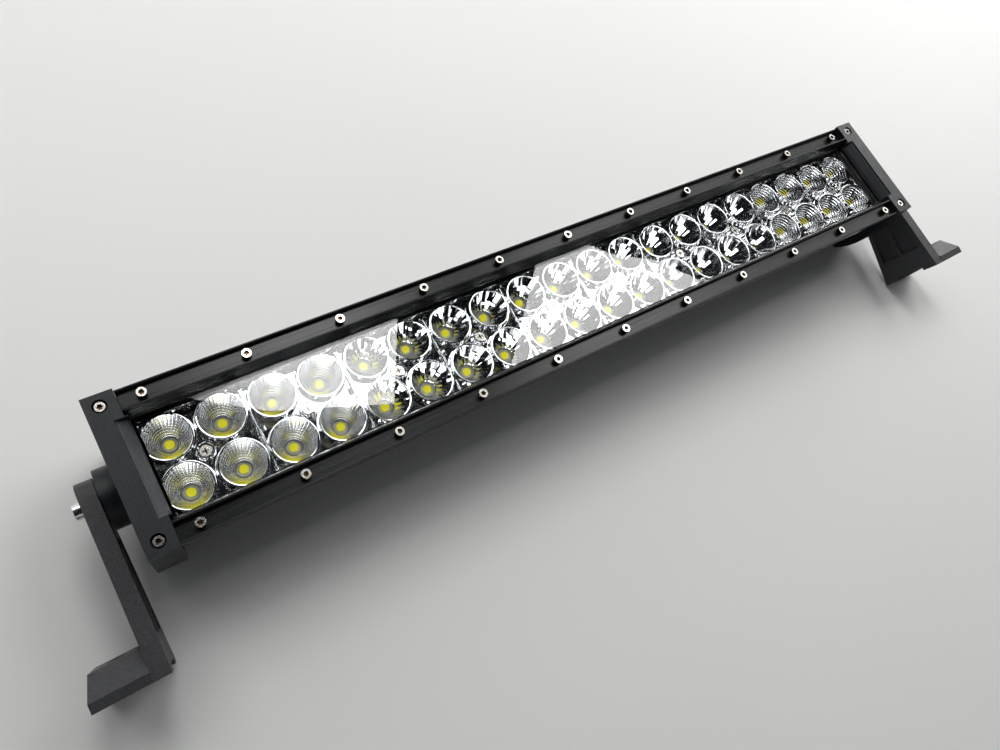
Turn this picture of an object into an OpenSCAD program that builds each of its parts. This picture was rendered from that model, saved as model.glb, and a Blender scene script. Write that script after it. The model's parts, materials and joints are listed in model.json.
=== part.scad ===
// LED light bar: a long finned housing under a clear lens, ten reflector
// modules over forty emitters, die-cast end caps and two swinging foot brackets.
// The bar lies on its back: X runs along it, Y up its face, Z out of its face.
// The origin is on the centre fin's back edge, half way along the bar.

/* [Bar] */
// Number of reflector modules in the row
module_count = 10; // [8:2:12]
// Length of one reflector module, two columns wide
module_pitch = 53; // [52.6:0.1:53.2]
// Height of the face over both press strips
face_height = 80; // [79.8:0.1:80.2]
// Depth from the face to the back of the fins
bar_depth = 64; // [63:0.5:65]
// Thickness of an end cap along the bar
cap_thickness = 14.5; // [14:0.1:15]

/* [Screws] */
// Distance from one strip screw to the next
strip_screw_pitch = 50.8; // [50:0.1:52]
// Distance of the strip screws from the face's centre line
strip_screw_y = 34.3; // [34.1:0.1:34.5]

/* [Brackets] */
// Distance from the pivot to the underside of the foot
arm_length = 84; // [83:0.1:85]
// Thickness of a bracket arm
arm_thickness = 8; // [7.9:0.1:8.5]
// Width of a bracket at its foot
foot_width = 46.5; // [45:0.5:47]
// Reach of the foot from the arm's inner face
foot_reach = 33.4; // [32:0.2:36]
// Height of the foot with its bolt block
block_height = 15.4; // [14:0.1:16]
// Width of the bolt hole in the foot
foot_hole_d = 8.5; // [8.2:0.1:9]
// How far the arms lean back from the face's plane, in degrees
arm_lean = 9; // [7:0.5:9]

/* [Pivot] */
// Height of the pivot above the back of the fins
pivot_z = 37; // [36.5:0.5:38]
// Diameter of the boss on each end cap
boss_d = 30.6; // [29:0.2:31]
// Nominal diameter of the pivot bolts
pivot_bolt_d = 8; // [8:0.01:8.02]

/* [Hidden] */

eps = 0.01;
play = 0.05;
clearance = 0.2;
gap = 0.3;
smooth = 64;
soft = 32;

// Levels above the back of the fins
face_z = bar_depth;
channel_z = face_z - 4;
strip_base_z = face_z - 7.2;
lens_thickness = 3.3;
gasket_thickness = 1.5;
cap_lap_z = strip_base_z + clearance;
ledge_z = strip_base_z - lens_thickness - gasket_thickness;
rim_z = face_z - 14.5;
flange_z = strip_base_z - 9.8;
web_top_z = face_z - 31;
web_thickness = 4;
web_z = web_top_z - web_thickness;
cavity_z = 14;
cavity_floor_z = 11.5;
board_t = 1.6;
board_top_z = web_top_z + board_t;

// Places along the bar
joint_x = module_count * module_pitch / 2 - clearance;
housing_end_x = joint_x + 2 * clearance;
end_gasket_t = 1;
seat_x = housing_end_x + end_gasket_t;
end_x = joint_x + cap_thickness;
boss_h = 8;
boss_end_x = end_x + boss_h;
friction_washer_t = 1;
arm_inner_x = boss_end_x + friction_washer_t + play;
arm_outer_x = arm_inner_x + arm_thickness;
foot_end_x = arm_inner_x + foot_reach;
nut_pocket_floor = 2.8;
washer_x = arm_inner_x + nut_pocket_floor + play;

// Widths across the bar
tray_half = 27.3;
wall_half = 31.3;
flange_half = face_height / 2 - 1.6;
strip_inner = 25.8;
strip_lip = 1.3;
cavity_half = 18;
cavity_wall_half = 20.5;
cap_half = face_height / 2 + 0.6;
cap_round_r = 57.4;
cap_round_z = 31;
port_r = 3.6;
ports = [[33.4, 42], [23.5, 24.8]];
fin_t = 2;
side_fins = [[31.5, 34.2], [36.5, 35.4]];
back_fin_pitch = 5.125;
outer_fins = [[25.8, 0.8], [30.3, 13]];

// Screws
m3_r = 1.5;
m4_r = 2;
thread_gap = 0.02;
m3_reach = 6.8;
tapped_depth = 7;
socket_flats = 2.5;
socket_depth = 1.7;
strip_screw_count = floor((2 * joint_x - 20) / strip_screw_pitch) + 1;
strip_head_r = 2.4;
strip_head_h = 3.3;
corner_screw_x = joint_x + 7.7;
corner_bore_r = 3.4;
slope_half = 25.3;
cap_head_r = 3.6;
cap_head_h = 2.6;
cap_head_sink = 0.2;
m4_reach = 9;

// Lens and gasket
lens_half_x = joint_x - clearance;
lens_half_y = wall_half - 0.3;
gasket_w = 2.8;
lip_x = joint_x - 1.6;
lip_half = 25.6;
tongue_x = joint_x - 2.2;

// Reflectors and emitters
led_pitch = module_pitch / 2;
cup_r = 11.3;
cup_wall = 0.6;
skirt_r = 13.1;
cup_foot_r = 4.8;
cup_foot_z = board_top_z + 1.3;
cup_steps = 8;
plate_top_z = rim_z - 4.3;
plate_t = 1.2;
plate_lip = 0.8;
lip_top_z = rim_z - 2;
post_r = 4.4;
pocket_r = 3.3;
screw_seat_z = plate_top_z + 0.2;
package_r = 3.85;
package_h = 1.4;
dome_r = 2.4;
lead_hole_r = 4;

// Cable gland, breather and driver
gland_x = -120;
gland_thread_r = 6;
breather_x = -97;
breather_thread_r = 4;
notch = [-136, -86];
notch_half = 13.5;
cable_r = 3.6;
driver_x = 75;
driver_half = 15;
driver_z = 16;
driver_top_z = driver_z + board_t;
coil_pitch = 28;
terminal_x = driver_x - 8;
terminal_h = 7;
lead_z = web_z - 1.2;

// Brackets and pivots
bolt_pocket = [[-17, 14], [17, 48]];
pivot_hole_r = pivot_bolt_d / 2 + play;
arm_top_r = 12;
nut_pocket_r = 8.2;
plain_washer_t = 1;
nut_h = 4;
m8_flats = 13;
head_h = 5.3;
head_seat_x = end_x - 6;
bolt_end_x = arm_outer_x + 4.2;
foot_t = 4.7;
block_top_half = 14;
block_draft = 3;
foot_fillet = 3;
foot_hole_x = (arm_outer_x + foot_end_x) / 2 - 1;
channel_half = 11.5;
channel_depth = 3;
recess_margin = 4.5;
recess_depth = 1.5;
recess_span = [19, 66];
rib_half = 1.5;

// Where an arm's flank leaves its round top: [distance from the pivot, half width]
flank_angle = atan2(foot_width / 2, arm_length)
    + acos(arm_top_r / norm([arm_length, foot_width / 2]));
flank_top = arm_top_r * [cos(flank_angle), sin(flank_angle)];

module both_y() {
    children();
    mirror([0, 1, 0]) children();
}

// For outlines drawn across the bar
module both_sides() {
    children();
    mirror([1, 0]) children();
}

module both_x() {
    children();
    mirror([1, 0, 0]) children();
}

// Extrudes an outline drawn across the bar (Y, Z) from x0 to x1
module along_x(x0, x1) {
    translate([x0, 0, 0]) rotate([90, 0, 90]) linear_extrude(x1 - x0) children();
}

// Extrudes an outline drawn along the bar (X, Z) from y0 to y1
module along_y(y0, y1) {
    translate([0, y1, 0]) rotate([90, 0, 0]) linear_extrude(y1 - y0) children();
}

module box2(a, b) {
    translate(a) square(b - a);
}

module rod_x(x0, x1, r, fn = smooth) {
    translate([x0, 0, 0]) rotate([0, 90, 0]) cylinder(h = x1 - x0, r = r, $fn = fn);
}

module hex(flats, h) {
    cylinder(h = h, r = flats / sqrt(3), $fn = 6);
}

module strip_screw_places() {
    for (i = [0:strip_screw_count - 1])
        translate([(i - (strip_screw_count - 1) / 2) * strip_screw_pitch, strip_screw_y, 0])
            children();
}

module corner_places() {
    both_x() both_y() translate([corner_screw_x, strip_screw_y, 0]) children();
}

module module_places() {
    for (i = [0:module_count - 1])
        translate([module_x(i), 0, 0]) children();
}

module led_places() {
    for (i = [-1, 1], j = [-1, 1])
        translate([i * led_pitch / 2, j * led_pitch / 2, 0]) children();
}

function module_x(i) = (i - (module_count - 1) / 2) * module_pitch;

// ---- housing ----

module port_places() {
    both_sides() for (p = ports) translate(p) children();
}

// The extrusion's walls without fins or screw ports
module housing_core() {
    both_sides() {
        polygon([[wall_half - eps, flange_z], [flange_half - 1.2, flange_z], [flange_half, flange_z + 2],
                 [flange_half, strip_base_z], [wall_half, strip_base_z], [wall_half - eps, ledge_z]]);
        box2([tray_half, web_z], [wall_half, ledge_z]);
        box2([cavity_half, cavity_floor_z], [cavity_wall_half, web_z + eps]);
    }
    box2([-wall_half, web_z], [wall_half, web_top_z]);
    box2([-cavity_wall_half, cavity_floor_z], [cavity_wall_half, cavity_z]);
}

module housing_fins() {
    for (i = [-4:4])
        box2([i * back_fin_pitch - fin_t / 2, 0], [i * back_fin_pitch + fin_t / 2, cavity_floor_z + eps]);
    both_sides() {
        for (f = outer_fins)
            box2([f[0] - fin_t / 2, f[1]], [f[0] + fin_t / 2, web_z + eps]);
        for (f = side_fins)
            box2([wall_half - eps, f[0] - fin_t / 2], [f[1], f[0] + fin_t / 2]);
    }
}

module housing_outline() {
    difference() {
        union() {
            housing_core();
            housing_fins();
            port_places() circle(r = port_r, $fn = soft);
        }
        port_places() circle(r = m4_r, $fn = soft);
    }
}

module housing() {
    color([0.05, 0.05, 0.055]) difference() {
        along_x(-housing_end_x, housing_end_x) housing_outline();
        both_y() strip_screw_places()
            translate([0, 0, strip_base_z - tapped_depth])
                cylinder(h = tapped_depth + 1, r = m3_r, $fn = soft);
        module_places() translate([0, 0, web_z + 0.5]) cylinder(h = web_thickness, r = m3_r, $fn = soft);
        translate([notch[0], -notch_half, -1])
            cube([notch[1] - notch[0], 2 * notch_half, cavity_floor_z + 1]);
        translate([gland_x, 0, 0]) cylinder(h = cavity_z + 1, r = gland_thread_r + 0.1, $fn = smooth);
        translate([breather_x, 0, 0])
            cylinder(h = cavity_z + 1, r = breather_thread_r + 0.1, $fn = smooth);
        translate([0, 0, web_z - 1]) cylinder(h = web_thickness + 2, r = lead_hole_r, $fn = soft);
    }
}

// ---- press strips ----

module strip_outline() {
    outer = face_height / 2;
    lip_z = face_z - 1.2;
    polygon([[strip_inner, strip_base_z], [strip_inner, strip_base_z + 0.8],
             [strip_inner + 0.6, strip_base_z + 1.2], [strip_inner + 2.6, face_z - 0.5],
             [strip_inner + 3, face_z], [strip_inner + 3.5, face_z], [strip_inner + 3.9, face_z - 0.5],
             [strip_inner + 3.9, channel_z], [outer - strip_lip, channel_z],
             [outer - strip_lip, lip_z - 0.4], [outer - strip_lip + 0.4, lip_z],
             [outer - 0.4, lip_z], [outer, lip_z - 0.4], [outer, strip_base_z]]);
}

module press_strip() {
    color([0.06, 0.06, 0.065]) difference() {
        along_x(-joint_x + 0.1, joint_x - 0.1) strip_outline();
        strip_screw_places()
            translate([0, 0, strip_base_z - 1]) cylinder(h = 6, r = m3_r + clearance, $fn = soft);
    }
}

module m3_screw() {
    difference() {
        union() {
            translate([0, 0, channel_z]) cylinder(h = strip_head_h, r = strip_head_r, $fn = soft);
            translate([0, 0, strip_base_z - m3_reach])
                cylinder(h = channel_z - strip_base_z + m3_reach + eps, r = m3_r - thread_gap, $fn = soft);
        }
        translate([0, 0, channel_z + strip_head_h - socket_depth]) hex(socket_flats, socket_depth + 1);
    }
}

module strip_screws() {
    color([0.8, 0.79, 0.76]) both_y() strip_screw_places() m3_screw();
}

module corner_screws() {
    color([0.8, 0.79, 0.76]) corner_places() m3_screw();
}

// ---- end caps ----

module cap_outline() {
    box2([-cap_half, cap_round_z], [cap_half, face_z]);
    intersection() {
        box2([-cap_half, 0], [cap_half, cap_round_z + eps]);
        translate([cap_half - cap_round_r, cap_round_z]) circle(r = cap_round_r, $fn = 128);
        translate([cap_round_r - cap_half, cap_round_z]) circle(r = cap_round_r, $fn = 128);
    }
}

// Room for the end of the housing, open at the back
module cap_pocket() {
    both_sides() polygon([[-eps, -1], [27.4, -1], [29, 5], [32, 12], [35.6, cap_round_z], [37.4, 38],
                          [37.4, flange_z - gap], [flange_half + gap, flange_z + 2 - gap],
                          [flange_half + gap, cap_lap_z], [-eps, cap_lap_z]]);
}

// Tongue of the cap that holds up the end of the lens and its gasket
module cap_tongue() {
    box2([-tray_half + gap, rim_z + gap], [tray_half - gap, ledge_z]);
}

// Step and slope from the flat band down to the lens
module bezel_slope() {
    polygon([[lip_x - 1, strip_base_z + 0.9], [lip_x, strip_base_z + 0.9], [lip_x + 1.2, strip_base_z + 2.6],
             [joint_x + 3, face_z - 1.6], [joint_x + 4, face_z - 0.9], [joint_x + 4.6, face_z - 0.9],
             [joint_x + 4.6, face_z + 1], [lip_x - 1, face_z + 1]]);
}

module cap_solid() {
    along_x(joint_x, end_x) cap_outline();
    translate([0, 0, pivot_z]) rod_x(end_x - 1, boss_end_x, boss_d / 2);
    along_x(lip_x, seat_x) box2([-lip_half, cap_lap_z], [lip_half, face_z]);
    along_x(tongue_x, seat_x + eps) cap_tongue();
}

module corner_bore() {
    translate([corner_screw_x, strip_screw_y, channel_z])
        cylinder(h = 8, r = corner_bore_r, $fn = soft);
}

module end_cap() {
    color([0.04, 0.04, 0.045]) difference() {
        cap_solid();
        difference() {
            along_x(tongue_x - 1, seat_x) cap_pocket();
            along_x(tongue_x - 1, seat_x + 1) cap_tongue();
        }
        along_y(-slope_half, slope_half) bezel_slope();
        both_y() corner_bore();
        both_y() translate([corner_screw_x, strip_screw_y, strip_base_z - tapped_depth])
            cylinder(h = channel_z - strip_base_z + tapped_depth + 1, r = m3_r, $fn = soft);
        along_x(seat_x - 1, head_seat_x) box2(bolt_pocket[0], bolt_pocket[1]);
        translate([0, 0, pivot_z]) rod_x(seat_x, boss_end_x + 1, pivot_bolt_d / 2 + clearance);
        both_y() for (p = ports) translate([0, p[0], p[1]]) {
            rod_x(seat_x - 1, end_x + 1, m4_r + clearance, soft);
            rod_x(end_x - cap_head_h - cap_head_sink, end_x + 1, cap_head_r + 2 * clearance, soft);
        }
    }
}

module cap_screws() {
    head_top_x = end_x - cap_head_sink;
    color([0.8, 0.79, 0.76]) both_x() both_y() for (p = ports)
        translate([0, p[0], p[1]]) difference() {
            union() {
                rod_x(head_top_x - cap_head_h, head_top_x, cap_head_r, soft);
                rod_x(housing_end_x - m4_reach, head_top_x - cap_head_h + eps, m4_r - thread_gap, soft);
            }
            translate([head_top_x - socket_depth, 0, 0]) rotate([0, 90, 0])
                hex(socket_flats, socket_depth + 1);
        }
}

// Sheet that closes the housing's end, notched for the cap's tongue
module end_gasket() {
    color([0.03, 0.03, 0.03]) along_x(housing_end_x, seat_x) difference() {
        union() {
            housing_core();
            box2([-tray_half - eps, web_top_z - eps], [tray_half + eps, rim_z]);
            box2([-cavity_half - eps, cavity_z - eps], [cavity_half + eps, web_z + eps]);
            port_places() circle(r = port_r, $fn = soft);
        }
        box2([-tray_half - 0.1, rim_z + 0.1], [tray_half + 0.1, ledge_z + 1]);
        port_places() circle(r = m4_r + 0.1, $fn = soft);
    }
}

// ---- lens ----

module lens() {
    color([0.9, 0.95, 1, 0.3]) translate([-lens_half_x, -lens_half_y, strip_base_z - lens_thickness])
        cube([2 * lens_half_x, 2 * lens_half_y, lens_thickness]);
}

module lens_gasket() {
    color([0.03, 0.03, 0.03]) translate([0, 0, ledge_z]) linear_extrude(gasket_thickness) difference() {
        square([2 * lens_half_x, 2 * lens_half_y], center = true);
        square([2 * (lens_half_x - gasket_w), 2 * (lens_half_y - gasket_w)], center = true);
    }
}

// ---- reflectors ----

// Height of the cup's wall at radius r, along a parabola from foot to rim
function cup_z(r) = cup_foot_z
    + (rim_z - cup_foot_z) * (r * r - cup_foot_r * cup_foot_r) / (cup_r * cup_r - cup_foot_r * cup_foot_r);

function cup_curve(out) = [
    for (i = [0:cup_steps])
        let (r = cup_foot_r + (cup_r - cup_foot_r) * i / cup_steps)
        [r + out, cup_z(r)]
];

module cup(out, over) {
    curve = cup_curve(out);
    rotate_extrude($fn = smooth)
        polygon(concat([[0, cup_foot_z - over]], [[cup_foot_r + out, cup_foot_z - over]], curve,
                       [[cup_r + out, rim_z + over], [0, rim_z + over]]));
}

// Shallow tray that joins a module's four cups
module reflector_tray() {
    l = module_pitch - clearance;
    w = 2 * tray_half - 1;
    z0 = plate_top_z - plate_t;
    difference() {
        translate([-l / 2, -w / 2, z0]) cube([l, w, lip_top_z - z0]);
        translate([-l / 2 + plate_lip, -w / 2 + plate_lip, plate_top_z])
            cube([l - 2 * plate_lip, w - 2 * plate_lip, 10]);
    }
}

module reflector(i) {
    color([0.85, 0.85, 0.87]) translate([module_x(i), 0, 0]) difference() {
        union() {
            reflector_tray();
            led_places() {
                cup(cup_wall, 0);
                translate([0, 0, plate_top_z - 0.5]) cylinder(
                    h = rim_z - plate_top_z + 0.5, r1 = skirt_r, r2 = cup_r + cup_wall, $fn = smooth);
            }
            translate([0, 0, board_top_z])
                cylinder(h = plate_top_z + 2.4 - board_top_z, r = post_r, $fn = soft);
        }
        led_places() cup(0, 0.1);
        translate([0, 0, board_top_z - 1]) cylinder(h = 30, r = m3_r + clearance, $fn = soft);
        translate([0, 0, screw_seat_z]) cylinder(h = 5, r = pocket_r, $fn = soft);
    }
}

module reflector_screws() {
    color([0.8, 0.79, 0.72]) module_places() difference() {
        union() {
            translate([0, 0, screw_seat_z]) cylinder(h = 1.8, r = 2.9, $fn = soft);
            translate([0, 0, web_z + 0.8])
                cylinder(h = screw_seat_z - web_z, r = m3_r - thread_gap, $fn = soft);
        }
        translate([0, 0, screw_seat_z + 0.9]) for (a = [0, 90])
            rotate([0, 0, a]) translate([-1.6, -0.35, 0]) cube([3.2, 0.7, 2]);
    }
}

// ---- emitters and boards ----

module led_board() {
    color([0.9, 0.9, 0.88]) difference() {
        translate([0.3, -tray_half + 0.4, web_top_z]) cube([joint_x - 0.5, 2 * tray_half - 0.8, board_t]);
        module_places() translate([0, 0, web_top_z - 1]) cylinder(h = 4, r = m3_r + clearance, $fn = soft);
        translate([0, 0, web_top_z - 1]) cylinder(h = 4, r = lead_hole_r, $fn = soft);
    }
}

module led_packages() {
    color([0.95, 0.95, 0.9]) module_places() led_places()
        translate([0, 0, board_top_z]) cylinder(h = package_h, r = package_r, $fn = soft);
}

module led_domes() {
    color([0.95, 0.85, 0.2]) module_places() led_places() translate([0, 0, board_top_z + package_h])
        intersection() {
            sphere(r = dome_r, $fn = soft);
            translate([-dome_r, -dome_r, 0]) cube(2 * dome_r);
        }
}

// ---- driver ----

module driver_corners() {
    both_x() both_y() translate([driver_x - 5, driver_half - 4, 0]) children();
}

module driver_board() {
    color([0.05, 0.3, 0.15]) difference() {
        translate([-driver_x, -driver_half, driver_z]) cube([2 * driver_x, 2 * driver_half, board_t]);
        driver_corners() translate([0, 0, driver_z - 1]) cylinder(h = 4, r = 1.6, $fn = soft);
    }
}

module driver_standoffs() {
    color([0.75, 0.65, 0.35]) driver_corners() difference() {
        translate([0, 0, cavity_z]) cylinder(h = driver_z - cavity_z, r = 2.8, $fn = soft);
        translate([0, 0, cavity_z - 1]) cylinder(h = 5, r = 1.3, $fn = soft);
    }
}

module driver_coils() {
    color([0.7, 0.35, 0.15]) for (i = [-1.5:1.5]) translate([i * coil_pitch, -5, driver_top_z])
        difference() {
            cylinder(h = 6.5, r = 7, $fn = smooth);
            translate([0, 0, 1]) cylinder(h = 6, r = 3, $fn = soft);
        }
}

module driver_capacitors() {
    color([0.1, 0.1, 0.12]) for (i = [-2:2]) translate([i * coil_pitch, 7, driver_top_z])
        cylinder(h = 9, r = 4, $fn = soft);
}

module driver_terminals() {
    color([0.1, 0.35, 0.2]) both_x()
        translate([terminal_x - 3.5, -6, driver_top_z]) cube([7, 12, terminal_h]);
}

// A lead from one point to the next, with a round joint at each bend
module lead(points, r) {
    for (i = [0:len(points) - 2]) {
        d = points[i + 1] - points[i];
        n = norm(d);
        translate(points[i])
            rotate([0, acos(d[2] / n), atan2(d[1], d[0])]) cylinder(h = n, r = r, $fn = soft);
        if (i > 0) translate(points[i]) sphere(r = r, $fn = soft);
    }
}

module supply_leads() {
    lead_end_x = -terminal_x - 3.55;
    color([0.6, 0.05, 0.05]) for (y = [-1.6, 1.6])
        lead([[gland_x, y, cavity_floor_z + 1], [gland_x, y, 21], [lead_end_x, y, 21]], 1);
}

module board_leads() {
    color([0.1, 0.1, 0.1]) for (y = [-2, 2])
        lead([[terminal_x, y, driver_top_z + terminal_h + play], [terminal_x, y, lead_z],
              [0, y, lead_z], [0, y, board_top_z]], 0.8);
}

// ---- cable gland and breather ----

module gland_body() {
    color([0.08, 0.08, 0.08]) translate([gland_x, 0, 0]) difference() {
        union() {
            translate([0, 0, 8.5]) hex(19, cavity_floor_z - 8.5);
            translate([0, 0, 6]) cylinder(h = 3, r = 7, $fn = smooth);
            translate([0, 0, cavity_floor_z - eps]) cylinder(h = 6.4, r = gland_thread_r, $fn = smooth);
        }
        translate([0, 0, 8.6]) cylinder(h = 20, r = 4.2, $fn = smooth);
        translate([0, 0, 5]) cylinder(h = 3.61, r = 5.6, $fn = smooth);
    }
}

module gland_locknut() {
    color([0.08, 0.08, 0.08]) translate([gland_x, 0, cavity_z]) difference() {
        hex(17, 3);
        translate([0, 0, -1]) cylinder(h = 5, r = gland_thread_r + thread_gap, $fn = smooth);
    }
}

module gland_seal() {
    color([0.02, 0.02, 0.02]) translate([gland_x, 0, 2.6]) difference() {
        cylinder(h = 6, r = 5.5, $fn = smooth);
        translate([0, 0, -1]) cylinder(h = 8, r = cable_r, $fn = smooth);
    }
}

module gland_cap() {
    color([0.08, 0.08, 0.08]) translate([gland_x, 0, 0]) difference() {
        union() {
            translate([0, 0, 3]) cylinder(h = 5.4, r = 8.6, $fn = smooth);
            translate([0, 0, 1.4]) cylinder(h = 1.61, r1 = 6.6, r2 = 8.6, $fn = smooth);
        }
        translate([0, 0, 2.5]) cylinder(h = 7, r = 5.6, $fn = smooth);
        translate([0, 0, 5.9]) cylinder(h = 3, r = 7.02, $fn = smooth);
        translate([0, 0, 0]) cylinder(h = 4, r = 4.4, $fn = smooth);
    }
}

module breather_valve() {
    color([0.1, 0.1, 0.1]) translate([breather_x, 0, 0]) difference() {
        union() {
            translate([0, 0, 7]) cylinder(h = cavity_floor_z - 7, r = 6.2, $fn = smooth);
            translate([0, 0, 9]) cylinder(h = 7, r = breather_thread_r, $fn = smooth);
        }
        for (a = [0:60:300]) rotate([0, 0, a]) translate([4, -0.5, 6.5]) cube([3, 1, 2]);
        translate([0, 0, 8.6]) cylinder(h = 10, r = 1.2, $fn = soft);
    }
}

// ---- pivots ----

module pivot_bolt() {
    color([0.8, 0.8, 0.82]) translate([0, 0, pivot_z]) {
        translate([head_seat_x - head_h, 0, 0]) rotate([0, 90, 0]) hex(m8_flats, head_h);
        rod_x(head_seat_x - 1, bolt_end_x, pivot_bolt_d / 2);
    }
}

module ring_x(x0, x1, r_out, r_in) {
    translate([0, 0, pivot_z]) difference() {
        rod_x(x0, x1, r_out);
        rod_x(x0 - 1, x1 + 1, r_in);
    }
}

module friction_washer() {
    color([0.05, 0.05, 0.05])
        ring_x(boss_end_x, boss_end_x + friction_washer_t, 11, pivot_bolt_d / 2 + gap);
}

module plain_washer() {
    color([0.75, 0.75, 0.76])
        ring_x(washer_x, washer_x + plain_washer_t, nut_pocket_r - gap, pivot_bolt_d / 2 + clearance);
}

module pivot_nut() {
    color([0.75, 0.75, 0.76]) translate([washer_x + plain_washer_t, 0, pivot_z]) difference() {
        rotate([0, 90, 0]) hex(m8_flats, nut_h);
        rod_x(-1, nut_h + 1, pivot_bolt_d / 2 + thread_gap);
    }
}

// ---- brackets, drawn with the arm along -Y from the pivot and its width along Z ----

// Half width of the arm at a distance from the pivot
function flank(d) = flank_top[1]
    + (foot_width / 2 - flank_top[1]) * (d - flank_top[0]) / (arm_length - flank_top[0]);

// The arm's tapered outline between two distances from the pivot
module arm_outline(inset, d0, d1) {
    w0 = flank(d0) - inset;
    w1 = flank(d1) - inset;
    polygon([[-d0, -w0], [-d0, w0], [-d1, w1], [-d1, -w1]]);
}

module arm_plate() {
    along_x(arm_inner_x, arm_outer_x) {
        arm_outline(0, flank_top[0], arm_length);
        circle(r = arm_top_r, $fn = smooth);
    }
}

// A plate with a bolt block on it, whose sides and end lean inwards
module foot() {
    x0 = arm_outer_x - eps;
    step = foot_t - arm_length;
    top = block_height - arm_length;
    half = foot_width / 2;
    intersection() {
        along_x(x0, foot_end_x + 1)
            polygon([[-arm_length, -half], [step, -half], [top, -block_top_half],
                     [top, block_top_half], [step, half], [-arm_length, half]]);
        translate([0, 0, -half - 1]) linear_extrude(foot_width + 2)
            polygon([[x0, -arm_length - 1], [foot_end_x, -arm_length - 1], [foot_end_x, step],
                     [foot_end_x - block_draft, top + 1], [x0, top + 1]]);
    }
}

// Concave fillet where the foot meets the arm
module fillet_bar(y, half) {
    translate([arm_outer_x - eps, y - eps, -half]) linear_extrude(2 * half) difference() {
        square(foot_fillet);
        translate([foot_fillet, foot_fillet]) circle(r = foot_fillet, $fn = soft);
    }
}

// Two shallow pockets on the arm's inner face, either side of a rib
module arm_recesses() {
    along_x(arm_inner_x - 1, arm_inner_x + recess_depth) difference() {
        arm_outline(recess_margin, recess_span[0], recess_span[1]);
        box2([-recess_span[1] - 1, -rib_half], [-recess_span[0] + 1, rib_half]);
    }
}

module bracket_local() {
    difference() {
        union() {
            arm_plate();
            foot();
            fillet_bar(block_height - arm_length, block_top_half - 1);
        }
        rod_x(arm_inner_x - 1, arm_outer_x + 1, pivot_hole_r);
        rod_x(washer_x - play, arm_outer_x + 1, nut_pocket_r);
        arm_recesses();
        translate([arm_inner_x - 1, -arm_length - 1, -channel_half])
            cube([foot_reach + 2, channel_depth + 1, 2 * channel_half]);
        translate([foot_hole_x, -arm_length - 1, 0]) rotate([-90, 0, 0])
            cylinder(h = block_height + 10, r = foot_hole_d / 2, $fn = smooth);
    }
}

module bracket() {
    color([0.045, 0.045, 0.05]) translate([0, 0, pivot_z]) rotate([arm_lean, 0, 0]) bracket_local();
}

housing();
press_strip();  // press_strip_upper
mirror([0, 1, 0]) press_strip();  // press_strip_lower
strip_screws();
mirror([1, 0, 0]) end_cap();  // end_cap_left
end_cap();  // end_cap_right
corner_screws();
cap_screws();
mirror([1, 0, 0]) end_gasket();  // end_gasket_left
end_gasket();  // end_gasket_right
lens();
lens_gasket();
for (i = [1:module_count])
    reflector(i - 1);
reflector_screws();
mirror([1, 0, 0]) led_board();  // led_board_left
led_board();  // led_board_right
led_packages();
led_domes();
driver_board();
driver_standoffs();
driver_coils();
driver_capacitors();
driver_terminals();
supply_leads();
board_leads();
gland_body();
gland_locknut();
gland_seal();
gland_cap();
breather_valve();
mirror([1, 0, 0]) pivot_bolt();  // pivot_bolt_left
pivot_bolt();  // pivot_bolt_right
mirror([1, 0, 0]) friction_washer();  // friction_washer_left
friction_washer();  // friction_washer_right
mirror([1, 0, 0]) pivot_nut();  // pivot_nut_left
pivot_nut();  // pivot_nut_right
mirror([1, 0, 0]) plain_washer();  // plain_washer_left
plain_washer();  // plain_washer_right
mirror([1, 0, 0]) bracket();  // bracket_left
bracket();  // bracket_right
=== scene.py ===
"""Looks of an LED light bar: finishes, mirror reflectors, emitters, camera and studio.

Everything is in metres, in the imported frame: X along the bar, Z out of its face."""

import json
import math
from collections import Counter

import bpy
from mathutils import Matrix, Vector


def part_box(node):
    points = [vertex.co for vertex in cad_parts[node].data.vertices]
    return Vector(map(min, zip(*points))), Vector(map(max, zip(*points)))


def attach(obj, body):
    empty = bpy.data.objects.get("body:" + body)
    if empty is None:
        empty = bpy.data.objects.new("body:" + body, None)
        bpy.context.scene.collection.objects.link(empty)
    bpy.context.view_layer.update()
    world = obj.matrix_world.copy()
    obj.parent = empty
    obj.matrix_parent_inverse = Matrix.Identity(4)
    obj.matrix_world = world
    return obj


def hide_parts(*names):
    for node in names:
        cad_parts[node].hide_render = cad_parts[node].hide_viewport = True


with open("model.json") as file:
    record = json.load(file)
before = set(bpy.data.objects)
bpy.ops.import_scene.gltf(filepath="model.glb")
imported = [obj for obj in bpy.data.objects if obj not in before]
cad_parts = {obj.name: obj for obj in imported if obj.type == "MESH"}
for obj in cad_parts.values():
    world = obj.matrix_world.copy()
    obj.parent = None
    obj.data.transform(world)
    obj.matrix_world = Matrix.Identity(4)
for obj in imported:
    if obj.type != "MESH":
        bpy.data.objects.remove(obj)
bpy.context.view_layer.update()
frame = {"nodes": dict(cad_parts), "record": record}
MM = 0.001
BAR = "bar"


# ---- finishes ----


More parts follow.
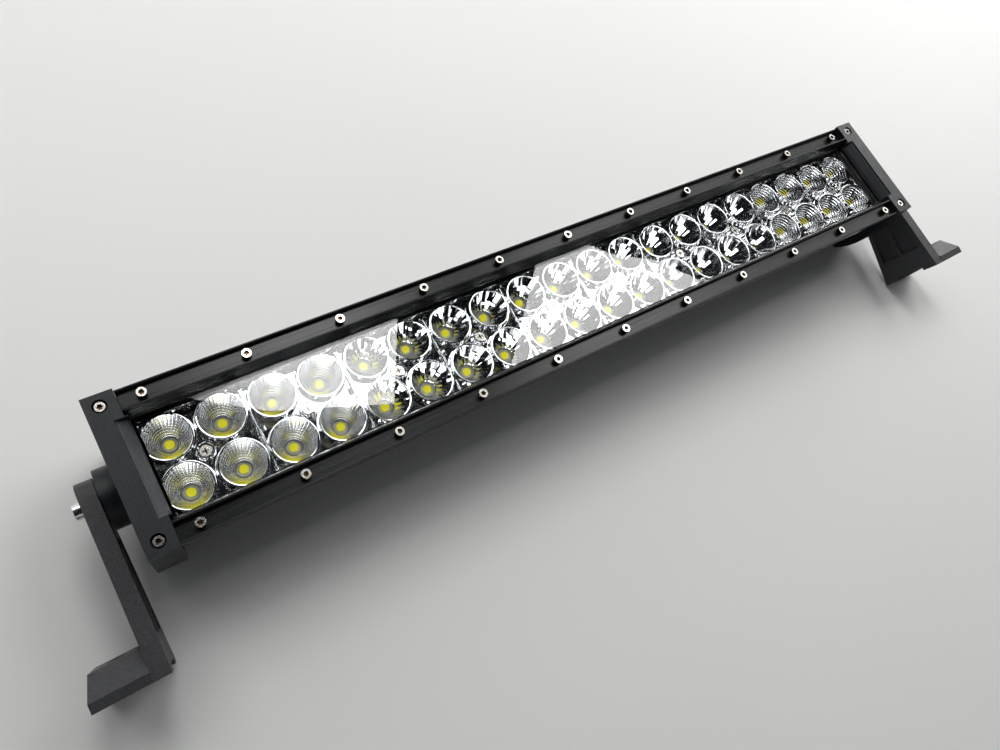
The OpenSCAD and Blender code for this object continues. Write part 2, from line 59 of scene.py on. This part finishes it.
class Finish:
    """A Principled material and the nodes that give it detail."""

    def __init__(self, name, color, roughness, metallic=0.0, **sockets):
        self.material = bpy.data.materials.new(name)
        self.material.use_nodes = True
        self.tree = self.material.node_tree
        self.shader = self.tree.nodes["Principled BSDF"]
        self.shader.inputs["Base Color"].default_value = (*color, 1.0)
        self.shader.inputs["Roughness"].default_value = roughness
        self.shader.inputs["Metallic"].default_value = metallic
        for socket, value in sockets.items():
            self.shader.inputs[socket.replace("_", " ")].default_value = value
        self.place = self.tree.nodes.new("ShaderNodeTexCoord").outputs["Object"]

    def stretched(self, scale):
        """Object coordinates scaled by a different amount along each axis."""
        mapping = self.tree.nodes.new("ShaderNodeMapping")
        mapping.inputs["Scale"].default_value = scale
        self.tree.links.new(self.place, mapping.inputs["Vector"])
        return mapping.outputs["Vector"]

    def noise(self, scale, detail=3.0, roughness=0.5, place=None):
        node = self.tree.nodes.new("ShaderNodeTexNoise")
        node.inputs["Scale"].default_value = scale
        node.inputs["Detail"].default_value = detail
        node.inputs["Roughness"].default_value = roughness
        self.tree.links.new(place or self.place, node.inputs["Vector"])
        return node.outputs["Fac"]

    def spread(self, source, low, high, start=0.3, stop=0.7):
        """Maps a texture's start..stop onto low..high."""
        node = self.tree.nodes.new("ShaderNodeMapRange")
        for socket, value in (("From Min", start), ("From Max", stop), ("To Min", low), ("To Max", high)):
            node.inputs[socket].default_value = value
        self.tree.links.new(source, node.inputs["Value"])
        return node.outputs["Result"]

    def mottle(self, source, dark, light, start=0.3, stop=0.7):
        """Varies the base colour between two colours."""
        ramp = self.tree.nodes.new("ShaderNodeValToRGB")
        ramp.color_ramp.elements[0].position = start
        ramp.color_ramp.elements[0].color = (*dark, 1.0)
        ramp.color_ramp.elements[1].position = stop
        ramp.color_ramp.elements[1].color = (*light, 1.0)
        self.tree.links.new(source, ramp.inputs["Fac"])
        self.tree.links.new(ramp.outputs["Color"], self.shader.inputs["Base Color"])
        return self

    def rub(self, source, low, high, start=0.3, stop=0.7):
        """Varies the roughness."""
        result = self.spread(source, low, high, start, stop)
        self.tree.links.new(result, self.shader.inputs["Roughness"])
        return self

    def bump(self, source, height, strength=1.0):
        """Raises the surface by a texture, height in metres."""
        node = self.tree.nodes.new("ShaderNodeBump")
        node.inputs["Strength"].default_value = strength
        node.inputs["Distance"].default_value = height
        self.tree.links.new(source, node.inputs["Height"])
        self.tree.links.new(node.outputs["Normal"], self.shader.inputs["Normal"])
        return self


def darker(color):
    return tuple(0.8 * c for c in color)


def powder_coat(name, dark, light, grain_mm, height_mm, rough):
    """Black powder coat with a fine raised grain."""
    handled = 0.08
    f = Finish(name, light, rough, Specular_IOR_Level=0.32)
    grain = f.noise(1 / (grain_mm * MM), 2.0, 0.6)
    f.mottle(grain, dark, light, 0.42, 0.62)
    f.rub(f.noise(90, 3.0), rough - handled, rough + handled)
    return f.bump(grain, height_mm * MM)


def extruded_black(name, dark, light, rough):
    """Black coated extrusion with faint draw lines along the bar."""
    f = Finish(name, light, rough, Specular_IOR_Level=0.42)
    lines = f.noise(1.0, 3.0, 0.6, f.stretched((25, 1800, 1800)))
    f.mottle(f.noise(600, 3.0), dark, light)
    f.rub(lines, rough - 0.01, rough + 0.02)
    return f.bump(f.noise(2600, 2.0), 0.012 * MM, 0.4)


def bright_metal(name, color, rough, scratch=1500):
    """Bright metal with fine scratches and slight tarnish."""
    f = Finish(name, color, rough, 1.0)
    f.mottle(f.noise(400, 3.0), darker(color), color)
    return f.rub(f.noise(scratch, 4.0), 0.8 * rough, 1.4 * rough)


def screw_steel_painted_shade(name, color, recess_shade, levels, rough):
    """Bright steel with painted shade: a dark brownish band between each pair of levels, given from the
    bottom up, where the head's sides sit down in its recess.
    """
    f = Finish(name, color, rough, 1.0)
    split = f.tree.nodes.new("ShaderNodeSeparateXYZ")
    f.tree.links.new(f.place, split.inputs["Vector"])
    bottom, top = levels[0][0] - MM, levels[-1][1] + MM
    ramp = f.tree.nodes.new("ShaderNodeValToRGB")
    ramp.color_ramp.interpolation = "CONSTANT"
    ramp.color_ramp.elements.remove(ramp.color_ramp.elements[1])
    ramp.color_ramp.elements[0].color = (*color, 1.0)
    # Painted shade: the band between each pair of levels gets the darker colour.
    for low, high in levels:
        for level, shade in ((low, recess_shade), (high, color)):
            stop = ramp.color_ramp.elements.new((level - bottom) / (top - bottom))
            stop.color = (*shade, 1.0)
    f.tree.links.new(f.spread(split.outputs["Z"], 0.0, 1.0, bottom, top), ramp.inputs["Fac"])
    f.tree.links.new(ramp.outputs["Color"], f.shader.inputs["Base Color"])
    return f.rub(f.noise(1500, 4.0), 0.8 * rough, 1.4 * rough)


def clear_lens():
    """Clear polycarbonate with a few faint smears."""
    f = Finish("lens_clear", (0.98, 0.99, 1.0), 0.0, IOR=1.5, Transmission_Weight=1.0)
    return f.rub(f.noise(40, 4.0), 0.0, 0.02, 0.55, 0.9)


def mirror_coat():
    """Metallised plastic, a clean mirror."""
    f = Finish("reflector_mirror", (0.93, 0.935, 0.94), 0.03, 1.0)
    f.mottle(f.noise(300, 2.0), (0.90, 0.91, 0.92), (0.94, 0.945, 0.95))
    return f.rub(f.noise(250, 3.0), 0.015, 0.05)


def moulded(name, color, rough, scale=900, height_mm=0.01):
    """Moulded plastic or rubber with slight colour variation."""
    f = Finish(name, color, rough)
    f.mottle(f.noise(scale, 3.0), darker(color), color)
    f.rub(f.noise(scale / 6, 3.0), rough - 0.06, rough + 0.06)
    return f.bump(f.noise(scale * 2, 2.0), height_mm * MM, 0.6)


def phosphor_with_painted_glow():
    """Grainy yellow phosphor with a painted glow: a constant emission that stands in for light bounced
    onto it round the mirror cup.
    """
    # The emission is painted light; the emitter itself is off.
    f = Finish("phosphor", (0.85, 0.82, 0.01), 0.4, Emission_Strength=0.50)
    f.shader.inputs["Emission Color"].default_value = (0.85, 0.80, 0.01, 1.0)
    f.mottle(f.noise(3000, 3.0), (0.80, 0.72, 0.01), (0.90, 0.88, 0.02))
    return f.bump(f.noise(4000, 2.0), 0.01 * MM, 0.5)


def dome_silicone():
    """Clear silicone."""
    f = Finish("dome_clear", (1.0, 1.0, 0.98), 0.02, IOR=1.41, Transmission_Weight=1.0)
    return f.rub(f.noise(600, 2.0), 0.0, 0.05)


BLACK_DARK = (0.004, 0.005, 0.006)
STRIP_SCREW_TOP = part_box("strip_screws")[1].z
WELL_SCREW_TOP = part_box("reflector_screws")[1].z
# Heights on the screw heads' sides, down in their recesses, that are painted darker as shade.
PAINTED_SHADE_LEVELS = ((WELL_SCREW_TOP - 2.2 * MM, WELL_SCREW_TOP - 0.4 * MM),
           (STRIP_SCREW_TOP - 3.4 * MM, STRIP_SCREW_TOP - 0.35 * MM))
FINISHES = {
    "black_extrusion": extruded_black("black_extrusion", BLACK_DARK, (0.010, 0.011, 0.012), 0.36),
    "strip_black": extruded_black("strip_black", BLACK_DARK, (0.008, 0.009, 0.010), 0.26),
    "cap_black": powder_coat("cap_black", BLACK_DARK, (0.017, 0.021, 0.029), 0.5, 0.16, 0.36),
    "bracket_black": powder_coat("bracket_black", (0.026, 0.027, 0.030), (0.056, 0.057, 0.062),
                                 0.5, 0.2, 0.42),
    # The screws' steel carries painted shade on their sides in the recesses.
    "stainless": screw_steel_painted_shade("stainless", (0.86, 0.83, 0.78), (0.16, 0.10, 0.045), PAINTED_SHADE_LEVELS, 0.2),
    "bright_steel": bright_metal("bright_steel", (0.88, 0.88, 0.90), 0.22),
    "lens_clear": clear_lens(),
    "reflector_mirror": mirror_coat(),
    "gasket_black": moulded("gasket_black", (0.012, 0.012, 0.012), 0.7),
    "board_white": moulded("board_white", (0.75, 0.75, 0.72), 0.4, 300),
    "led_ceramic": moulded("led_ceramic", (0.86, 0.86, 0.80), 0.35, 2500),
    "phosphor": phosphor_with_painted_glow(),
    "board_green": moulded("board_green", (0.02, 0.12, 0.05), 0.35, 200),
    "copper_coil": bright_metal("copper_coil", (0.65, 0.28, 0.10), 0.3, 700),
    "capacitor_black": moulded("capacitor_black", (0.02, 0.02, 0.025), 0.3, 200),
    "standoff_brass": bright_metal("standoff_brass", (0.65, 0.50, 0.18), 0.25),
    "terminal_green": moulded("terminal_green", (0.03, 0.25, 0.10), 0.4, 300),
    "wire_red": moulded("wire_red", (0.35, 0.015, 0.015), 0.45, 300),
    "wire_black": moulded("wire_black", (0.015, 0.015, 0.015), 0.45, 300),
    "gland_black": moulded("gland_black", (0.016, 0.016, 0.017), 0.5, 500, 0.02),
}
DOME = dome_silicone()


def dress_cad_nodes():
    """Gives each CAD node its slot's finish."""
    for part in frame["record"]["subparts"]:
        node = frame["nodes"][part["node"]]
        node.data.materials.clear()
        node.data.materials.append(FINISHES[part["material_slot"]].material)


def soften_edges(node, width_mm, segments, angle):
    """Rounds the CAD node's edges that are sharper than angle, with modifiers."""
    obj = frame["nodes"][node]
    weld = obj.modifiers.new("weld", "WELD")
    weld.merge_threshold = 0.002 * MM
    bevel = obj.modifiers.new("edges", "BEVEL")
    bevel.width = width_mm * MM
    bevel.segments = segments
    bevel.limit_method = "ANGLE"
    bevel.angle_limit = math.radians(angle)
    bevel.use_clamp_overlap = True
    bevel.harden_normals = False
    normals = obj.modifiers.new("normals", "WEIGHTED_NORMAL")
    normals.keep_sharp = True
    normals.weight = 50


# Nodes, width in mm, segments and least angle in degrees of their rounded edges.
SOFTENED = (
    (("end_cap_left", "end_cap_right"), 0.45, 3, 38),
    (("bracket_left", "bracket_right"), 0.6, 3, 38),
    (("press_strip_upper", "press_strip_lower", "housing"), 0.15, 2, 38),
    (("strip_screws", "corner_screws", "cap_screws", "reflector_screws"), 0.15, 2, 50),
    (("pivot_bolt_left", "pivot_bolt_right", "pivot_nut_left", "pivot_nut_right"), 0.35, 2, 38),
    (("gland_body", "gland_cap", "breather_valve"), 0.35, 2, 38),
)


# ---- meshes ----


class Sheet:
    """Collects the points, faces, flat faces and sharp edges of one mesh object."""

    def __init__(self):
        self.points = []
        self.faces = []
        self.flat = set()
        self.creases = set()

    def ring(self, points):
        """Adds a loop of points and returns their numbers."""
        start = len(self.points)
        self.points.extend(points)
        return list(range(start, len(self.points)))

    def circle(self, center, r, z, count):
        """Adds a level round loop."""
        angles = [2 * math.pi * i / count for i in range(count)]
        return self.ring([(center[0] + r * math.cos(a), center[1] + r * math.sin(a), z) for a in angles])

    def bridge(self, inner, outer):
        """Joins two loops of the same length with a band of faces."""
        for i in range(len(inner)):
            j = (i + 1) % len(inner)
            self.faces.append((inner[i], outer[i], outer[j], inner[j]))

    def crease(self, loop_a, loop_b, every):
        """Keeps the edges between two loops sharp, one in every so many."""
        for i in range(0, len(loop_a), every):
            self.creases.add(frozenset((loop_a[i], loop_b[i])))

    def sharpen(self, loop):
        """Keeps the edges round a loop sharp."""
        for i in range(len(loop)):
            self.creases.add(frozenset((loop[i - 1], loop[i])))

    def lathe(self, center, profile, count):
        """Turns a profile of (radius, height) about the vertical line through center."""
        loops = [self.circle(center, radius, height, count) for radius, height in profile]
        for inner, outer in zip(loops, loops[1:]):
            self.bridge(inner, outer)
        return loops

    def build(self, name, finish, replaced, smooth=True):
        """Makes the piece that stands for a CAD node, with its open edges kept sharp."""
        mesh = bpy.data.meshes.new(name)
        mesh.from_pydata(self.points, [], self.faces)
        shading = [smooth and i not in self.flat for i in range(len(mesh.polygons))]
        mesh.polygons.foreach_set("use_smooth", shading)
        mesh.set_sharp_from_angle(angle=math.radians(40))
        faces_along = Counter(key for polygon in mesh.polygons for key in polygon.edge_keys)
        for edge in mesh.edges:
            if faces_along[edge.key] == 1 or frozenset(edge.vertices) in self.creases:
                edge.use_edge_sharp = True
        mesh.materials.append(finish.material)
        mesh.update()
        piece = bpy.data.objects.new(name, mesh)
        bpy.context.scene.collection.objects.link(piece)
        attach(piece, BAR)
        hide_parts(replaced)
        return piece


MODULE_COUNT = 10
FLOOD_MODULES = (1, 2, 9, 10)
FLOOD_SEGMENTS = 80
SPOT_SEGMENTS = 72
CUP_R = 11.3 * MM
RIM_R = 12.4 * MM
SKIRT_R = 12.95 * MM
FLOOD_FOOT_R = 4.4 * MM
SPOT_FOOT_R = 4.9 * MM
LED_PITCH = 26.5 * MM

TRAY_LOW, TRAY_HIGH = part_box("reflector_1")
HALF_LENGTH = (TRAY_HIGH.x - TRAY_LOW.x) / 2
HALF_WIDTH = (TRAY_HIGH.y - TRAY_LOW.y) / 2
RIM_Z = TRAY_HIGH.z
PLATE_Z = RIM_Z - 4.3 * MM
LIP_WALL = 0.8 * MM
LIP_TOP = RIM_Z - 2 * MM
CUP_TOP = RIM_Z - 0.2 * MM
BASE_LOW, BASE_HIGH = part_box("led_packages")
FOOT_Z = BASE_HIGH.z - 0.1 * MM
DIE_THICK = 0.3 * MM
BASE_CUP_DEPTH = 0.35 * MM
DOME_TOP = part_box("led_domes")[1].z


def module_center(number):
    low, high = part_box(f"reflector_{number}")
    return (low.x + high.x) / 2


def cup_centers(number):
    """The middles of a module's four cups."""
    center_x = module_center(number)
    return [(center_x + sx * LED_PITCH / 2, sy * LED_PITCH / 2) for sx in (-1, 1) for sy in (-1, 1)]


def flood_steps():
    """Start and end, as (radius, height), of each stepped ring of facets from the rim down."""
    bands = 9
    width = (CUP_R - FLOOD_FOOT_R) / bands
    tread = 0.86 * width
    middle_r, middle_slope, steepening = 6 * MM, 0.92, 0.2 / MM
    slopes = [middle_slope + steepening * (CUP_R - (k + 0.5) * width - middle_r) for k in range(bands)]
    riser = (CUP_TOP - FOOT_Z - sum(slope * tread for slope in slopes)) / bands
    steps = []
    z = CUP_TOP
    for k, slope in enumerate(slopes):
        r = CUP_R - k * width
        steps.append(((r, z), (r - tread, z - slope * tread)))
        z -= slope * tread + riser
    return steps


def flood_wall(sheet, center):
    """Stepped rings of small pillowed facets, each two segments wide."""
    bulge = 0.09 * MM
    lift = 0.6
    walls = []
    for (r0, z0), (r1, z1) in flood_steps():
        loops = []
        for share in (0.0, 0.5, 1.0):
            points = []
            for i in range(FLOOD_SEGMENTS):
                a = 2 * math.pi * i / FLOOD_SEGMENTS
                pillow = bulge if i % 2 and share == 0.5 else 0.0
                r = r0 + (r1 - r0) * share - pillow
                points.append((center[0] + r * math.cos(a), center[1] + r * math.sin(a),
                               z0 + (z1 - z0) * share + lift * pillow))
            loops.append(sheet.ring(points))
        for outer, inner in zip(loops, loops[1:]):
            sheet.crease(outer, inner, 2)
        sheet.sharpen(loops[0])
        sheet.sharpen(loops[-1])
        walls.extend(loops)
    return walls


def spot_wall(sheet, center):
    """Eighteen long flat flutes on a deep parabola."""
    rings = 16
    steps = 4
    bead = 0.3 * MM
    flutes = SPOT_SEGMENTS // steps
    walls = [sheet.circle(center, CUP_R, CUP_TOP, SPOT_SEGMENTS)]
    for k in range(rings + 1):
        r = CUP_R + (SPOT_FOOT_R - CUP_R) * k / rings
        share = (r * r - SPOT_FOOT_R * SPOT_FOOT_R) / (CUP_R * CUP_R - SPOT_FOOT_R * SPOT_FOOT_R)
        points = []
        for i in range(SPOT_SEGMENTS):
            a = 2 * math.pi * i / SPOT_SEGMENTS
            across = (i % steps) / steps - 0.5
            reach = r * math.cos(math.pi / flutes) / math.cos(2 * math.pi * across / flutes)
            points.append((center[0] + reach * math.cos(a), center[1] + reach * math.sin(a),
                           FOOT_Z + (CUP_TOP - bead - FOOT_Z) * share))
        walls.append(sheet.ring(points))
    for outer, inner in zip(walls[1:], walls[2:]):
        sheet.crease(outer, inner, steps)
    sheet.sharpen(walls[1])
    return walls


def add_cup(sheet, center, flood):
    """A mirror cup and the throat round its emitter; returns the loop at its mouth."""
    walls = flood_wall(sheet, center) if flood else spot_wall(sheet, center)
    count = len(walls[0])
    foot_r = FLOOD_FOOT_R if flood else SPOT_FOOT_R
    throat = [sheet.circle(center, foot_r - inset, FOOT_Z - drop, count)
              for inset, drop in ((0.2 * MM, 0.1 * MM), (0.3 * MM, 0.9 * MM))]
    loops = walls + throat
    for outer, inner in zip(loops, loops[1:]):
        sheet.bridge(inner, outer)
    return walls[0]


def add_skirt(sheet, center, mouth, x_range, y_range):
    """The rounded rim, outside wall and share of the plate that belong to one cup."""
    count = len(mouth)
    edge_round = 0.35 * MM
    profile = [(CUP_R + 0.1 * MM, RIM_Z - 0.03 * MM), (CUP_R + 0.25 * MM, RIM_Z)]
    for i in range(6):
        a = math.pi / 2 * i / 5
        profile.append((RIM_R + edge_round * (math.sin(a) - 1), RIM_Z + edge_round * (math.cos(a) - 1)))
    fillet = 0.25 * MM
    for i in range(5):
        a = math.pi / 2 * (i + 0.6) / 4.6
        profile.append((SKIRT_R + fillet * (1 - math.cos(a)), PLATE_Z + fillet * (1 - math.sin(a))))
    profile.append((SKIRT_R + fillet + 0.05 * MM, PLATE_Z))
    previous = mouth
    for k in range(len(profile) + 1):
        points = []
        for i in range(count):
            a = 2 * math.pi * i / count
            c, s = math.cos(a), math.sin(a)
            r, z = profile[k] if k < len(profile) else (LED_PITCH / 2 / max(abs(c), abs(s)), PLATE_Z)
            points.append((min(max(center[0] + r * c, x_range[0]), x_range[1]),
                           min(max(center[1] + r * s, y_range[0]), y_range[1]), z))
        ring = sheet.ring(points)
        sheet.bridge(previous, ring)
        previous = ring


def add_tray_lip(sheet, center_x):
    """The raised lip round a module, a rounded bead on a thin wall."""
    fillet = 0.5 * MM
    bead = 0.3 * MM
    skirt = 1.2 * MM
    profile = [(LIP_WALL + fillet, PLATE_Z), (LIP_WALL, PLATE_Z + fillet), (LIP_WALL, LIP_TOP - bead),
               (0.7 * LIP_WALL, LIP_TOP), (0.3 * LIP_WALL, LIP_TOP), (0.0, LIP_TOP - bead),
               (0.0, PLATE_Z - skirt)]
    loops = []
    for inset, z in profile:
        x = HALF_LENGTH - inset
        y = HALF_WIDTH - inset
        loops.append(sheet.ring([(center_x - x, -y, z), (center_x + x, -y, z),
                                 (center_x + x, y, z), (center_x - x, y, z)]))
    for inner, outer in zip(loops, loops[1:]):
        sheet.bridge(inner, outer)


def add_ramps(sheet, center_x):
    """Small sloping webs that stiffen the lip half way along each side and near its corners."""
    reach = 3.4 * MM
    foot = PLATE_Z - 0.1 * MM
    top = LIP_TOP - 0.2 * MM
    inset = 0.3 * MM
    wide, narrow = 1.9 * MM, 1.2 * MM
    corner_y = HALF_WIDTH - 2.3 * MM
    webs = [((HALF_LENGTH, 0.0), (-1, 0), wide), ((HALF_LENGTH, corner_y), (-1, 0), narrow),
            ((HALF_LENGTH, -corner_y), (-1, 0), narrow), ((0.0, HALF_WIDTH), (0, -1), wide)]
    for (x, y), (dx, dy), half in webs:
        for turn in (1, -1):
            wall = (center_x + turn * (x + inset * dx), turn * (y + inset * dy))
            along = (turn * dx * reach, turn * dy * reach)
            across = (-turn * dy * half, turn * dx * half)
            a, b, c, d, e, f = sheet.ring([
                (wall[0] - across[0], wall[1] - across[1], top),
                (wall[0] + across[0], wall[1] + across[1], top),
                (wall[0] + across[0] + along[0], wall[1] + across[1] + along[1], foot),
                (wall[0] - across[0] + along[0], wall[1] - across[1] + along[1], foot),
                (wall[0] - across[0], wall[1] - across[1], foot),
                (wall[0] + across[0], wall[1] + across[1], foot)])
            for face in ((a, d, c, b), (a, e, d), (b, c, f)):
                sheet.flat.add(len(sheet.faces))
                sheet.faces.append(face)


def add_screw_well(sheet, center):
    """The raised ring that the module's screw sits in, from its seat outwards."""
    top = PLATE_Z + 2.4 * MM
    bead = 0.3 * MM
    sheet.lathe(center, [(1.8 * MM, PLATE_Z + 0.2 * MM), (3.25 * MM, PLATE_Z + 0.25 * MM),
                         (3.3 * MM, top - bead), (3.6 * MM, top), (4.0 * MM, top),
                         (4.3 * MM, top - bead), (4.5 * MM, PLATE_Z + bead),
                         (4.9 * MM, PLATE_Z - 0.1 * MM)], 48)


def make_reflector(number):
    """One reflector module, four cups in a shallow tray."""
    center_x = module_center(number)
    x_range = (center_x - HALF_LENGTH, center_x + HALF_LENGTH)
    y_range = (-HALF_WIDTH, HALF_WIDTH)
    sheet = Sheet()
    for center in cup_centers(number):
        mouth = add_cup(sheet, center, number in FLOOD_MODULES)
        add_skirt(sheet, center, mouth, x_range, y_range)
    add_tray_lip(sheet, center_x)
    add_ramps(sheet, center_x)
    add_screw_well(sheet, (center_x, 0.0))
    name = f"mirror_module_{number}"
    piece = sheet.build(name, FINISHES["reflector_mirror"], f"reflector_{number}")
    shell = piece.modifiers.new("shell", "SOLIDIFY")
    shell.thickness = 0.25 * MM
    shell.offset = -1.0


def make_emitters():
    """Ceramic bases, yellow dies and clear domes, one of each in every cup."""
    bases = Sheet()
    dies = Sheet()
    domes = Sheet()
    for number in range(1, MODULE_COUNT + 1):
        for center in cup_centers(number):
            add_base(bases, center)
            add_die(dies, center)
            add_dome(domes, center)
    bases.build("emitter_bases", FINISHES["led_ceramic"], "led_packages")
    dies.build("emitter_dies", FINISHES["phosphor"], "led_domes", smooth=False)
    domes.build("emitter_domes", DOME, "led_domes")


def add_base(sheet, center):
    """A round base with a shallow cup in its top."""
    outer_r = 3.85 * MM
    middle_r = 0.01 * MM
    cup_floor = BASE_HIGH.z - BASE_CUP_DEPTH
    sheet.lathe(center, [(middle_r, cup_floor), (2.6 * MM, cup_floor), (2.75 * MM, BASE_HIGH.z),
                         (3.6 * MM, BASE_HIGH.z), (outer_r, BASE_HIGH.z - 0.25 * MM),
                         (outer_r, BASE_LOW.z), (middle_r, BASE_LOW.z)], 24)


def add_die(sheet, center):
    """A small square of phosphor with cut corners, just above the floor of the base's cup."""
    half = 1.95 * MM
    cut = 0.6 * MM
    z = BASE_HIGH.z - BASE_CUP_DEPTH + 0.02 * MM
    corner = [(half, half - cut), (half - cut, half), (cut - half, half), (-half, half - cut),
              (-half, cut - half), (cut - half, -half), (half - cut, -half), (half, cut - half)]
    bottom = sheet.ring([(center[0] + x, center[1] + y, z) for x, y in corner])
    top = sheet.ring([(center[0] + x, center[1] + y, z + DIE_THICK) for x, y in corner])
    sheet.bridge(top, bottom)
    sheet.faces.append(tuple(top))
    sheet.faces.append(tuple(reversed(bottom)))


def add_dome(sheet, center):
    """A closed half-round dome on a short straight foot, moulded over the die."""
    radius = 2.45 * MM
    foot = BASE_HIGH.z - BASE_CUP_DEPTH - 0.01 * MM
    springing = foot + 0.4 * MM
    rise = DOME_TOP - springing
    steps = 10
    arc = [math.pi / 2 * i / steps for i in range(1, steps + 1)]
    profile = [(radius * math.sin(a), springing + rise * math.cos(a)) for a in arc]
    loops = sheet.lathe(center, profile + [(radius, foot)], 32)
    sheet.faces.append(tuple(loops[0]))
    sheet.faces.append(tuple(reversed(loops[-1])))


# ---- studio ----


def glow_material(name, strength, fade=None):
    """An even glow, or one that fades in between two places along X."""
    material = bpy.data.materials.new(name)
    material.use_nodes = True
    nodes, links = material.node_tree.nodes, material.node_tree.links
    shader = nodes["Principled BSDF"]
    shader.inputs["Base Color"].default_value = (0, 0, 0, 1)
    shader.inputs["Specular IOR Level"].default_value = 0.0
    shader.inputs["Emission Color"].default_value = (1.0, 1.0, 0.985, 1.0)
    shader.inputs["Emission Strength"].default_value = strength
    if fade:
        place = nodes.new("ShaderNodeTexCoord")
        split = nodes.new("ShaderNodeSeparateXYZ")
        ramp = nodes.new("ShaderNodeMapRange")
        ramp.interpolation_type = "SMOOTHSTEP"
        ramp.inputs["From Min"].default_value = fade[0]
        ramp.inputs["From Max"].default_value = fade[1]
        ramp.inputs["To Max"].default_value = strength
        links.new(place.outputs["Object"], split.inputs["Vector"])
        links.new(split.outputs["X"], ramp.inputs["Value"])
        links.new(ramp.outputs["Result"], shader.inputs["Emission Strength"])
    return material


def stage_face(name, corners, material):
    """One flat face of the studio, given by its corners in metres."""
    mesh = bpy.data.meshes.new(name)
    mesh.from_pydata(corners, [], [tuple(range(len(corners)))])
    mesh.materials.append(material)
    face = bpy.data.objects.new(name, mesh)
    bpy.context.scene.collection.objects.link(face)
    return face


def make_panel(name, corners, strength, fade=None):
    """A flat glowing panel, seen only through the light that it gives."""
    panel = stage_face(name, corners, glow_material(name, strength, fade))
    panel.visible_camera = False


def rectangle(x_low, x_high, y_low, y_high):
    return [(x_low, y_low), (x_high, y_low), (x_high, y_high), (x_low, y_high)]


def make_lights():
    """Two overhead panels that show in the lens, three more beside them, and two upright ones."""
    height = 1.5
    lens_left = [(-0.26, 0.66), (-0.125, 0.555), (0.018, 0.458), (0.306, 0.350), (0.427, 0.567),
                 (0.62, 1.7), (-0.5, 1.7)]
    lens_right = [(0.660, 0.320), (0.66, 0.10), (1.55, 0.10), (1.376, 0.342), (1.292, 0.434),
                  (1.155, 0.512), (1.066, 0.595), (1.2, 1.7), (1.05, 1.7), (0.888, 0.560)]
    for name, outline, z, strength, fade in (
            ("panel_left", lens_left, height, 6.5, (-0.29, 0.09)),
            ("panel_right", lens_right, height, 5.6, None),
            ("panel_west", rectangle(-1.2, -0.28, 0.72, 1.9), height + 0.02, 2.9, None),
            ("panel_east", rectangle(1.25, 2.8, 0.72, 1.9), height, 4.6, None),
            ("panel_far", rectangle(1.6, 2.6, -0.15, 0.25), height, 4.0, None)):
        make_panel(name, [(x, y, z) for x, y in outline], strength, fade)
    back_y = 2.4
    side_x = 3.2
    make_panel("panel_back", [(x, back_y, z) for x, z in rectangle(-1.6, 2.6, 0.5, 1.9)], 0.9)
    make_panel("panel_side", [(side_x, y, z) for y, z in rectangle(0.4, 1.7, 0.15, 1.0)], 8.0)


def make_floor():
    """A plain pale floor."""
    size = 6.0
    grey = Finish("floor_grey", (0.80, 0.805, 0.795), 0.6)
    grey.mottle(grey.noise(3, 2.0), (0.79, 0.795, 0.785), (0.81, 0.815, 0.805))
    stage_face("floor", [(x, y, 0) for x, y in rectangle(-size, size, -size, size)], grey.material)


def make_world(zenith, horizon):
    """A dark ceiling over a paler horizon."""
    world = bpy.data.worlds.new("studio")
    bpy.context.scene.world = world
    world.use_nodes = True
    nodes, links = world.node_tree.nodes, world.node_tree.links
    place = nodes.new("ShaderNodeTexCoord")
    split = nodes.new("ShaderNodeSeparateXYZ")
    ramp = nodes.new("ShaderNodeValToRGB")
    ramp.color_ramp.elements[0].position = 0.15
    ramp.color_ramp.elements[0].color = (*horizon, 1.0)
    ramp.color_ramp.elements[1].position = 0.5
    ramp.color_ramp.elements[1].color = (*zenith, 1.0)
    links.new(place.outputs["Generated"], split.inputs["Vector"])
    links.new(split.outputs["Z"], ramp.inputs["Fac"])
    links.new(ramp.outputs["Color"], nodes["Background"].inputs["Color"])


def make_camera():
    """High over the left end, looking down along the bar."""
    eye = Vector((-0.2605, -0.1113, 0.4221))
    forward = Vector((0.4247, 0.2025, -0.8824)).normalized()
    right = Vector((0.8261, -0.4855, 0.2862))
    right = (right - right.dot(forward) * forward).normalized()
    up = right.cross(forward)
    data = bpy.data.cameras.new("camera")
    data.sensor_width = 36.0
    data.lens = 26.82
    camera = bpy.data.objects.new("camera", data)
    rotation = Matrix((right, up, -forward)).transposed().to_4x4()
    camera.matrix_world = Matrix.Translation(eye) @ rotation
    bpy.context.scene.collection.objects.link(camera)
    bpy.context.scene.camera = camera


def set_look():
    """Plain tones, and enough bounces for mirrors behind glass."""
    scene = bpy.context.scene
    scene.view_settings.view_transform = "Standard"
    scene.cycles.max_bounces = 14
    scene.cycles.transmission_bounces = 12
    scene.cycles.glossy_bounces = 8
    scene.cycles.sample_clamp_indirect = 8.0


make_camera()
dress_cad_nodes()
for names, width_mm, segments, angle in SOFTENED:
    for name in names:
        soften_edges(name, width_mm, segments, angle)
for number in range(1, MODULE_COUNT + 1):
    make_reflector(number)
make_emitters()
make_floor()
make_lights()
make_world((0.008, 0.008, 0.009), (0.75, 0.76, 0.78))
set_look()
